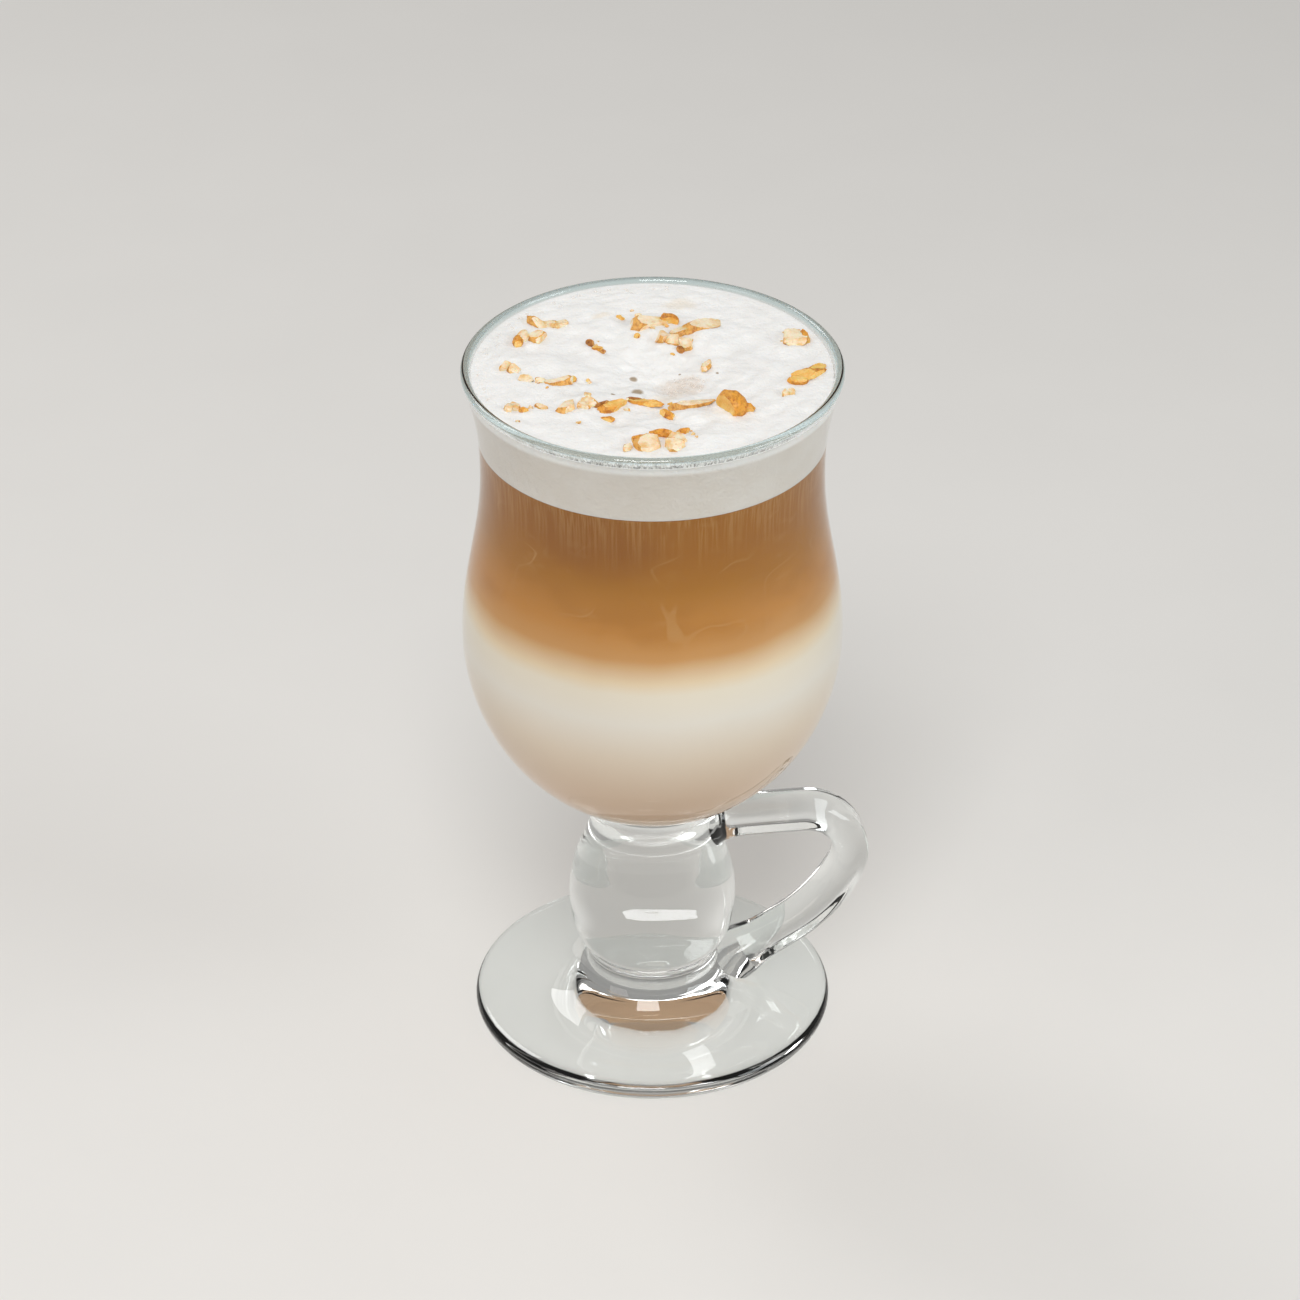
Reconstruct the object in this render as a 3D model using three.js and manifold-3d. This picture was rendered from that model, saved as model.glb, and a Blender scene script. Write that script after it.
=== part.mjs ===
// A layered latte in a clear tulip-shaped glass with a solid stem, a round foot and a looped handle.
// Millimetres, +Z up. The origin is the centre of the foot's flat underside, and the handle points along +X.
// Milk lies in the bottom of the bowl, coffee on the milk and foam on the coffee, with chopped nuts on the foam.

import * as THREE from 'three';
import { ConvexGeometry } from 'three/addons/geometries/ConvexGeometry.js';
import { mergeVertices } from 'three/addons/utils/BufferGeometryUtils.js';
import Module from 'manifold-3d';

const wasm = await Module();
wasm.setup();

// Driving dimensions of the glass
const HEIGHT = 150;
const LIP_RADIUS = 0.9;
const RIM_RADIUS = 37;
const WAIST_RADIUS = 33.6;
const WAIST_HEIGHT = 128;
const BELLY_RADIUS = 37.85;
const BELLY_HEIGHT = 91;
const BOWL_DEPTH = 41;
const FOOT_RADIUS = 36.8;
const FOOT_EDGE = 3.5;
const FOOT_CONE_RISE = 7.2;
const FOOT_CONE_FADE = 5.7;
const STEM_RADIUS = 17.1;
const NECK_RADIUS = 12.6;
const JOINT_RADIUS = 13.7;
const RIM_FLARE_POWER = 2.2;
const WAIST_EASE = 1.1;

// Walls: thin at the rim, thicker at the belly, and a solid bottom over the stem
const WALL_AT_RIM = 1.8;
const WALL_AT_BELLY = 2.2;
const INNER_BOTTOM = 53.2;

// Driving dimensions of the handle, a flat strap bent in the XZ plane
const HANDLE_WIDTH = 9.8;
const HANDLE_THICKNESS = 7.1;
const HANDLE_REACH = 41.1;
const HANDLE_TOP = 43.9;

// Driving dimensions of the drink
const MILK_TOP = 102;
const COFFEE_TOP = 134.4;
const FOAM_LEVEL = 148.2;
const FOAM_TILT = 0.9;
const FOAM_DOME = 0.3;
const FOAM_DIP = { x: 1, y: -4, depth: 2, radius: 9 };
const GAP = 0.3;

const TURN_STEPS = 48;
const SEED = 20;

// Repeatable random numbers between 0 and 1
function randomFrom(seed) {
  let state = seed;
  return () => {
    state = (state * 16807) % 2147483647;
    return state / 2147483647;
  };
}

// Outer radius of the bowl: half an ellipse up to the belly, a smooth waist, and a rim that flares out
function outerRadius(z) {
  if (z <= BELLY_HEIGHT) {
    return BELLY_RADIUS * Math.sqrt(1 - ((BELLY_HEIGHT - z) / BOWL_DEPTH) ** 2);
  }
  if (z <= WAIST_HEIGHT) {
    const t = (z - BELLY_HEIGHT) / (WAIST_HEIGHT - BELLY_HEIGHT);
    const ease = ((1 + Math.cos(Math.PI * t)) / 2) ** WAIST_EASE;
    return WAIST_RADIUS + (BELLY_RADIUS - WAIST_RADIUS) * ease;
  }
  const t = (z - WAIST_HEIGHT) / (HEIGHT - LIP_RADIUS - WAIST_HEIGHT);
  return WAIST_RADIUS + (RIM_RADIUS - WAIST_RADIUS) * t ** RIM_FLARE_POWER;
}

// Inner radius of the bowl, less a clearance that shrinks the space evenly
function innerRadius(z, clearance = 0) {
  if (z <= BELLY_HEIGHT) {
    const reach = BELLY_RADIUS - WALL_AT_BELLY - clearance;
    const depth = BELLY_HEIGHT - INNER_BOTTOM - clearance;
    return reach * Math.sqrt(Math.max(0, 1 - ((BELLY_HEIGHT - z) / depth) ** 2));
  }
  const t = (z - BELLY_HEIGHT) / (HEIGHT - LIP_RADIUS - BELLY_HEIGHT);
  return outerRadius(z) - THREE.MathUtils.lerp(WALL_AT_BELLY, WALL_AT_RIM, t) - clearance;
}

// Upper face of the foot: nearly flat at the edge and rising to a cone round the stem
function footHeight(radius) {
  return FOOT_EDGE + FOOT_CONE_RISE * Math.exp(-(radius - JOINT_RADIUS) / FOOT_CONE_FADE);
}

// Points of a radius function between two heights, with both ends included
function wallPoints(radiusAt, from, to, steps) {
  return Array.from({ length: steps + 1 }, (_, i) => {
    const z = THREE.MathUtils.lerp(from, to, i / steps);
    return new THREE.Vector2(radiusAt(z), z);
  });
}

// Points of the bowl's rounded bottom, spaced by angle, from a given height up to the belly
function bowlPoints(reach, depth, from, steps) {
  const first = Math.acos((BELLY_HEIGHT - from) / depth);
  return Array.from({ length: steps + 1 }, (_, i) => {
    const angle = THREE.MathUtils.lerp(first, Math.PI / 2, i / steps);
    return new THREE.Vector2(reach * Math.sin(angle), BELLY_HEIGHT - depth * Math.cos(angle));
  });
}

// Points of an arc from one angle to another, in degrees
function arcPoints(radius, height, size, from, to, steps) {
  return Array.from({ length: steps + 1 }, (_, i) => {
    const angle = THREE.MathUtils.degToRad(THREE.MathUtils.lerp(from, to, i / steps));
    return new THREE.Vector2(radius + size * Math.cos(angle), height + size * Math.sin(angle));
  });
}

// A closed profile turned round the Z axis
function turned(profile) {
  return new THREE.LatheGeometry(profile, TURN_STEPS).rotateX(Math.PI / 2);
}

// A geometry as a solid that can be joined or cut
function toSolid(geometry) {
  const bare = geometry.clone();
  bare.deleteAttribute('normal');
  bare.deleteAttribute('uv');
  const merged = mergeVertices(bare, 1e-4);
  return new wasm.Manifold(new wasm.Mesh({
    numProp: 3,
    vertProperties: new Float32Array(merged.attributes.position.array),
    triVerts: new Uint32Array(merged.index.array),
  }));
}

// A solid's vertices and triangles as a geometry
function toGeometry(solid) {
  const mesh = solid.getMesh();
  const geometry = new THREE.BufferGeometry();
  geometry.setAttribute('position', new THREE.BufferAttribute(new Float32Array(mesh.vertProperties), 3));
  geometry.setIndex(new THREE.BufferAttribute(new Uint32Array(mesh.triVerts), 1));
  geometry.computeVertexNormals();
  return geometry;
}

// The solid stem: a barrel between the foot's joint and the neck under the bowl
function stemPoints() {
  const outline = new THREE.SplineCurve([
    new THREE.Vector2(JOINT_RADIUS, footHeight(JOINT_RADIUS)),
    new THREE.Vector2(JOINT_RADIUS - 0.2, 14.4),
    new THREE.Vector2(15.6, 18),
    new THREE.Vector2(16.8, 23),
    new THREE.Vector2(STEM_RADIUS, 28.5),
    new THREE.Vector2(16.2, 34),
    new THREE.Vector2(14.6, 39),
    new THREE.Vector2(13.1, 43.5),
    new THREE.Vector2(NECK_RADIUS, 47.5),
    new THREE.Vector2(13.2, 50.6),
    new THREE.Vector2(14.8, 53),
  ]);
  return outline.getPoints(17);
}

// The turned body of the glass: foot, stem, bowl and lip, hollow from the rim to the inner bottom
function glassBody() {
  const edge = FOOT_EDGE / 2;
  const footTop = [30, 24, 19.5, 16].map((radius) => new THREE.Vector2(radius, footHeight(radius)));
  const bowlStart = 54.2;
  const lowerBowl = bowlPoints(BELLY_RADIUS, BOWL_DEPTH, bowlStart, 9);
  const lipCentre = RIM_RADIUS - LIP_RADIUS;
  const lipHeight = HEIGHT - LIP_RADIUS;
  const innerReach = BELLY_RADIUS - WALL_AT_BELLY;
  const innerDepth = BELLY_HEIGHT - INNER_BOTTOM;
  const inside = [
    ...bowlPoints(innerReach, innerDepth, INNER_BOTTOM, 8),
    ...wallPoints((z) => innerRadius(z), BELLY_HEIGHT, lipHeight, 9).slice(1, -1),
  ].reverse();
  return turned([
    new THREE.Vector2(0, 0),
    ...arcPoints(FOOT_RADIUS - edge, edge, edge, -90, 75, 5),
    ...footTop,
    ...stemPoints(),
    ...lowerBowl,
    ...wallPoints(outerRadius, BELLY_HEIGHT, lipHeight, 9).slice(1, -1),
    ...arcPoints(lipCentre, lipHeight, LIP_RADIUS, 0, 180, 6),
    ...inside,
  ]);
}

// The strap of the handle, swept from inside the neck round to inside the foot's cone
function handleStrap() {
  const route = new THREE.CatmullRomCurve3([
    new THREE.Vector3(7, 0, HANDLE_TOP - 0.5),
    new THREE.Vector3(23, 0, HANDLE_TOP - 0.1),
    new THREE.Vector3(31.7, 0, HANDLE_TOP),
    new THREE.Vector3(39.2, 0, 40.4),
    new THREE.Vector3(HANDLE_REACH, 0, 34.5),
    new THREE.Vector3(38.8, 0, 27.4),
    new THREE.Vector3(33.5, 0, 20.2),
    new THREE.Vector3(27.2, 0, 15.2),
    new THREE.Vector3(20.5, 0, 11),
    new THREE.Vector3(13.5, 0, 7),
  ], false, 'centripetal');
  const corner = 0.85;
  const section = new THREE.Shape(Array.from({ length: 16 }, (_, i) => {
    const angle = (2 * Math.PI * i) / 16;
    const cos = Math.cos(angle);
    const sin = Math.sin(angle);
    return new THREE.Vector2(
      (HANDLE_WIDTH / 2) * Math.sign(cos) * Math.abs(cos) ** corner,
      (HANDLE_THICKNESS / 2) * Math.sign(sin) * Math.abs(sin) ** corner,
    );
  }));
  return new THREE.ExtrudeGeometry(section, { steps: 36, bevelEnabled: false, extrudePath: route });
}

// A rounded weld where the handle runs into the body
function weld(x, z, length, width, height) {
  return new THREE.SphereGeometry(1, 12, 8).scale(length, width, height).translate(x, 0, z);
}

function glassGeometry() {
  const solid = toSolid(glassBody())
    .add(toSolid(handleStrap()))
    .add(toSolid(weld(20.5, 9.5, 6, 5.2, 4.4)))
    .add(toSolid(weld(13.5, 44, 4.2, 5.8, 4.4)));
  return toGeometry(solid);
}

function milkGeometry() {
  const reach = BELLY_RADIUS - WALL_AT_BELLY - GAP;
  const depth = BELLY_HEIGHT - INNER_BOTTOM - GAP;
  const top = MILK_TOP - GAP / 2;
  return turned([
    ...bowlPoints(reach, depth, INNER_BOTTOM + GAP, 8),
    ...wallPoints((z) => innerRadius(z, GAP), BELLY_HEIGHT, top, 3).slice(1),
    new THREE.Vector2(0, top),
  ]);
}

function coffeeGeometry() {
  const bottom = MILK_TOP + GAP / 2;
  const top = COFFEE_TOP - GAP / 2;
  return turned([
    new THREE.Vector2(0, bottom),
    ...wallPoints((z) => innerRadius(z, GAP), bottom, top, 7),
    new THREE.Vector2(0, top),
  ]);
}

// Height of the foam's surface: a little higher at the back, slightly domed, with a shallow dip near the middle
function foamHeight(x, y) {
  const reach = innerRadius(FOAM_LEVEL);
  const fromAxis = Math.hypot(x, y) / reach;
  const fromDip = Math.hypot(x - FOAM_DIP.x, y - FOAM_DIP.y) / FOAM_DIP.radius;
  const lumps = 0.12 * Math.sin(x / 4.1 + 0.6) * Math.cos(y / 5.3 - 0.4) * (1 - fromAxis ** 2);
  return FOAM_LEVEL + (FOAM_TILT * y) / reach + FOAM_DOME * (1 - fromAxis ** 2)
    - FOAM_DIP.depth * Math.exp(-(fromDip ** 2)) + lumps;
}

// The foam's block: a turned slab whose top, and the top's edge on the wall, then follow the surface
function foamBlock() {
  const bottom = COFFEE_TOP + GAP / 2;
  const shoulder = FOAM_LEVEL - 1.6;
  const edge = innerRadius(FOAM_LEVEL, GAP);
  const rings = 7;
  const top = Array.from({ length: rings + 1 }, (_, i) => new THREE.Vector2(edge * (1 - i / rings), FOAM_LEVEL));
  const block = turned([
    new THREE.Vector2(0, bottom),
    ...wallPoints((z) => innerRadius(z, GAP), bottom, shoulder, 4),
    ...top,
  ]);
  const position = block.attributes.position;
  for (let i = 0; i < position.count; i += 1) {
    if (position.getZ(i) > FOAM_LEVEL - 0.01) {
      const x = position.getX(i);
      const y = position.getY(i);
      const height = foamHeight(x, y);
      const spread = innerRadius(height, GAP) / edge;
      position.setXYZ(i, x * spread, y * spread, height);
    }
  }
  return block;
}

// Where the larger nut pieces lie: x, y, length, width, thickness and turn in degrees
const NUT_PIECES = [
  [13, -15.4, 6.2, 5.2, 5, 120],
  [15.6, -16.6, 3, 2.6, 2.2, 150],
  [-4.2, -26.8, 5.4, 5.4, 2.6, 20],
  [-0.6, -26.4, 5.2, 5.2, 2.4, 60],
  [-6.2, -24.4, 4, 1.5, 1.6, 30],
  [-1.6, -23.7, 4.6, 1.3, 1.9, -14],
  [2.6, -23.5, 2.6, 1.1, 1.5, 12],
  [1.8, 17.6, 8.4, 5, 2.4, 12],
  [5.7, 18.8, 3, 4.6, 2.2, 40],
  [11.6, 15.8, 10.4, 3.8, 2, 22],
  [7.2, 13.6, 6.4, 2.2, 1.8, 34],
  [4.8, 11.6, 5.6, 3.8, 2, -10],
  [7.8, 9.8, 3.2, 4.4, 2.2, -20],
  [6.6, 8.2, 1.8, 1.6, 1.6, 20],
  [29, -5.2, 8.6, 4.8, 1.8, 32],
  [27, -7, 4, 3.6, 1.7, -30],
  [31.4, -3.2, 4.4, 2.2, 1.5, 40],
  [28.7, 8.6, 5.6, 6.4, 3, 4],
  [31, 9, 1.6, 5, 2.6, 8],
  [-21.6, 15.7, 5.8, 4, 2.2, 28],
  [-24.3, 14.6, 1.8, 4, 1.8, -14],
  [-19.6, 21.3, 6.8, 2.2, 1.8, -52],
  [-16.4, 20.5, 5, 3.4, 1.6, 10],
  [-18, -11.2, 4.8, 4.2, 1.9, 20],
  [-14.6, -10.2, 4, 3.4, 1.9, 40],
  [-9.4, -11.6, 6.6, 2.8, 1.8, 22],
  [-11.2, -11.1, 3, 1, 1.3, 24],
  [-2.9, -10, 6.6, 2, 1.3, -26],
  [-4.6, -8.7, 3.4, 0.8, 1.1, -24],
  [5.8, -12.2, 8.4, 2.9, 1.6, 12],
  [0.6, -15.4, 3.8, 1.8, 1.4, -48],
  [-26.9, 4.7, 4.2, 3, 1.8, -20],
  [-24.6, 0.4, 3.6, 2, 1.4, -24],
  [-21.8, -0.9, 3.2, 1.8, 1.3, -6],
  [-18, -1.5, 5.6, 2.8, 1.5, 4],
  [-15.8, -1, 2, 1.6, 1.3, 40],
  [-28.2, -9.3, 3.2, 2.8, 1.6, 0],
  [-22.6, -10.2, 3.2, 1.8, 1.4, -40],
  [-10.4, 11.9, 2.6, 1.4, 1.6, -50],
  [-9.2, 10.2, 2.2, 1.3, 1.4, -30],
  [10.7, 1.6, 3.8, 1.6, 1.4, 58],
  [24.5, -11.6, 2.8, 2.2, 1.5, 40],
  [-3.4, 21.7, 2, 1.2, 1, -30],
  [-10.8, -15.3, 2.6, 1.4, 1, 0],
  [-8.4, -27.4, 2.4, 1.8, 1.2, 30],
];

// A chopped nut piece: the hull of random points in a flattened ball, partly sunk into the foam
function nutPiece(random, x, y, length, width, thickness, turn) {
  const points = Array.from({ length: 13 }, () => {
    const direction = new THREE.Vector3(random() - 0.5, random() - 0.5, random() - 0.5).normalize();
    return direction.multiply(new THREE.Vector3(length / 2, width / 2, thickness / 2));
  });
  const lift = 0.1 * thickness;
  return new ConvexGeometry(points)
    .rotateZ(THREE.MathUtils.degToRad(turn))
    .translate(x, y, foamHeight(x, y) + lift);
}

// The foam with its nut pieces
function foamGeometry() {
  const random = randomFrom(SEED);
  let solid = toSolid(foamBlock());
  for (const piece of NUT_PIECES) {
    solid = solid.add(toSolid(nutPiece(random, ...piece)));
  }
  return toGeometry(solid);
}

const materials = {
  glass: new THREE.MeshStandardMaterial({
    color: 0xe4ece9, roughness: 0.03, metalness: 0, transparent: true, opacity: 0.35,
  }),
  milk: new THREE.MeshStandardMaterial({ color: 0xe6ddcf, roughness: 0.35, metalness: 0 }),
  coffee: new THREE.MeshStandardMaterial({ color: 0xa87a46, roughness: 0.35, metalness: 0 }),
  foam: new THREE.MeshStandardMaterial({ color: 0xf1ece4, roughness: 0.8, metalness: 0 }),
};

function namedMesh(name, geometry) {
  const mesh = new THREE.Mesh(geometry, materials[name]);
  mesh.name = name;
  return mesh;
}

const group = new THREE.Group();
group.add(namedMesh('glass', glassGeometry()));
group.add(namedMesh('milk', milkGeometry()));
group.add(namedMesh('coffee', coffeeGeometry()));
group.add(namedMesh('foam', foamGeometry()));

export default group;
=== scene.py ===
"""Dresses a layered latte in its clear footed glass.

Metres, +Z up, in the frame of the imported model: the origin is the centre of the foot's underside, and the
handle points along +X. Milk, coffee and foam lie in the bowl, with chopped nuts on the foam.
"""

import logging
import math
import random
from dataclasses import dataclass, field
from enum import Enum
from typing import Callable, Iterable, Sequence, Union

import bpy
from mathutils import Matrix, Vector


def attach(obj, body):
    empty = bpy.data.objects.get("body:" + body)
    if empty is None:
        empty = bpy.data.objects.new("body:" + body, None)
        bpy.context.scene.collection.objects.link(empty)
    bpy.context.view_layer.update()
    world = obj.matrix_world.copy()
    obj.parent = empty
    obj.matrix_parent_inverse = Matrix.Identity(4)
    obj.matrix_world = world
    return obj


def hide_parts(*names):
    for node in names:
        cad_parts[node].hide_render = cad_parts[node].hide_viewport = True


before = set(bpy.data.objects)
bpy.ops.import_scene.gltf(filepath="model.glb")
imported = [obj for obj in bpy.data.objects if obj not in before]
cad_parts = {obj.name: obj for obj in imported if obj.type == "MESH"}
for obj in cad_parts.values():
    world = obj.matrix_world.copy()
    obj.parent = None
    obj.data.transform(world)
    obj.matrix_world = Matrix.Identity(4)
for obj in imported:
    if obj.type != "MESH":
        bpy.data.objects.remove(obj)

log = logging.getLogger("latte")

MM = 0.001
BODY = "root"
TURN_STEPS = 160
RAY_START = 200 * MM

Triple = tuple[float, float, float]
Colour = Triple
Outline = list[tuple[float, float]]
Value = Union[float, int, "Wire"]


def deselect_everything() -> None:
    """Leaves edit mode and deselects every object."""
    if bpy.context.mode != "OBJECT":
        bpy.ops.object.mode_set(mode="OBJECT")
    bpy.ops.object.select_all(action="DESELECT")


def make_active(piece: bpy.types.Object) -> None:
    """Selects one object alone and makes it the active one.

    Args:
        piece: The object that the next operators work on.
    """
    deselect_everything()
    piece.select_set(True)
    bpy.context.view_layer.objects.active = piece


def named(name: str) -> bpy.types.Object:
    """Names the active object and its mesh, and applies its place to the mesh.

    Args:
        name: The new name.

    Returns:
        The object, standing at the origin.
    """
    piece = bpy.context.object
    piece.name = name
    piece.data.name = name
    bpy.ops.object.transform_apply(location=True, rotation=True, scale=True)
    return piece


def select_vertices(piece: bpy.types.Object, wanted: Callable[[Vector], bool]) -> None:
    """Goes to edit mode with only the vertices selected that a test picks.

    Args:
        piece: The mesh object to select in.
        wanted: Says of a vertex's place whether it is selected.
    """
    make_active(piece)
    bpy.ops.object.mode_set(mode="EDIT")
    bpy.ops.mesh.select_mode(type="VERT")
    bpy.ops.mesh.select_all(action="DESELECT")
    bpy.ops.object.mode_set(mode="OBJECT")
    for vertex in piece.data.vertices:
        vertex.select = wanted(vertex.co)
    bpy.ops.object.mode_set(mode="EDIT")


def apply_modifier(piece: bpy.types.Object, kind: str, **settings: object) -> None:
    """Adds a modifier with its settings and applies it.

    Args:
        piece: The object to change.
        kind: The modifier's type, such as BOOLEAN.
        **settings: The modifier's properties by name.
    """
    make_active(piece)
    modifier = piece.modifiers.new(kind.lower(), kind)
    for key, value in settings.items():
        setattr(modifier, key, value)
    bpy.ops.object.modifier_apply(modifier=modifier.name)


def joined(pieces: Sequence[bpy.types.Object], name: str) -> bpy.types.Object:
    """Joins objects into the first of them.

    Args:
        pieces: The objects.
        name: The name of the result.

    Returns:
        The joined object.
    """
    deselect_everything()
    for piece in pieces:
        piece.select_set(True)
    bpy.context.view_layer.objects.active = pieces[0]
    bpy.ops.object.join()
    return named(name)


def dress(piece: bpy.types.Object, material: bpy.types.Material, sharp: float) -> None:
    """Smooths a piece and gives it its material.

    Args:
        piece: The piece to dress.
        material: Its material.
        sharp: The angle between faces, in degrees, from which an edge stays sharp.
    """
    make_active(piece)
    bpy.ops.object.shade_smooth_by_angle(angle=math.radians(sharp))
    piece.data.materials.append(material)


def crumple(piece: bpy.types.Object, size: float, detail: int, strength: float, **settings: object) -> None:
    """Displaces a mesh by cloud noise.

    Args:
        piece: The piece to roughen.
        size: The size of the noise's spots.
        detail: How many finer layers it has.
        strength: How far it moves the surface in all.
        **settings: More of the modifier's properties.
    """
    texture = bpy.data.textures.new("clouds", "CLOUDS")
    texture.noise_scale = size
    texture.noise_depth = detail
    apply_modifier(piece, "DISPLACE", texture=texture, texture_coords="LOCAL", strength=strength,
                   mid_level=0.5, **settings)


def drop_onto(foam: bpy.types.Object, x: float, y: float, above: float = 0.0) -> float:
    """Finds the foam's surface by a ray from above.

    Args:
        foam: The foam.
        x: Where along X.
        y: Where along Y.
        above: How far over the surface the result lies.

    Returns:
        The height, or the foam's level where there is no foam.
    """
    found, hit, _, _ = foam.ray_cast((x, y, RAY_START), (0, 0, -1))
    return hit.z + above if found else Foam.level


def smooth_through(points: Sequence[tuple[float, float]], steps: int) -> Outline:
    """Samples a smooth curve through a few points, evenly between each two of them.

    Args:
        points: The places the curve passes through.
        steps: How many samples to make between two neighbouring points.

    Returns:
        The sampled outline, with both ends.
    """
    outline: Outline = []
    last = len(points) - 1
    for i in range(last):
        a, b, c, d = (points[min(max(i + k, 0), last)] for k in (-1, 0, 1, 2))
        for step in range(steps):
            t = step / steps
            outline.append(tuple(
                b[n] + 0.5 * t * (c[n] - a[n] + t * (2 * a[n] - 5 * b[n] + 4 * c[n] - d[n]
                                                     + t * (3 * (b[n] - c[n]) + d[n] - a[n])))
                for n in (0, 1)
            ))
    outline.append(points[-1])
    return outline


def turned(name: str, outline: Outline, closed: bool = False) -> bpy.types.Object:
    """Models a turned shape: one vertex is extruded along the outline, and that line is spun round Z.

    Args:
        name: The new object's name.
        outline: Radius and height of each point, from the axis to the axis unless it is closed.
        closed: Whether the outline returns to its first point, as a ring's does.

    Returns:
        The turned object, with its faces pointing outwards.
    """
    deselect_everything()
    path = outline + outline[:1] if closed else outline
    bpy.ops.mesh.primitive_plane_add(size=1 * MM)
    bpy.ops.object.mode_set(mode="EDIT")
    bpy.ops.mesh.select_all(action="SELECT")
    bpy.ops.mesh.merge(type="CENTER")
    bpy.ops.transform.translate(value=(path[0][0], 0, path[0][1]))
    for (r0, z0), (r1, z1) in zip(path, path[1:]):
        bpy.ops.mesh.extrude_region_move(TRANSFORM_OT_translate={"value": (r1 - r0, 0, z1 - z0)})
    bpy.ops.mesh.select_all(action="SELECT")
    bpy.ops.mesh.spin(steps=TURN_STEPS, angle=math.tau, center=(0, 0, 0), axis=(0, 0, 1))
    bpy.ops.mesh.select_all(action="SELECT")
    bpy.ops.mesh.remove_doubles(threshold=0.002 * MM)
    bpy.ops.mesh.normals_make_consistent(inside=False)
    bpy.ops.object.mode_set(mode="OBJECT")
    return named(name)


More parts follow.
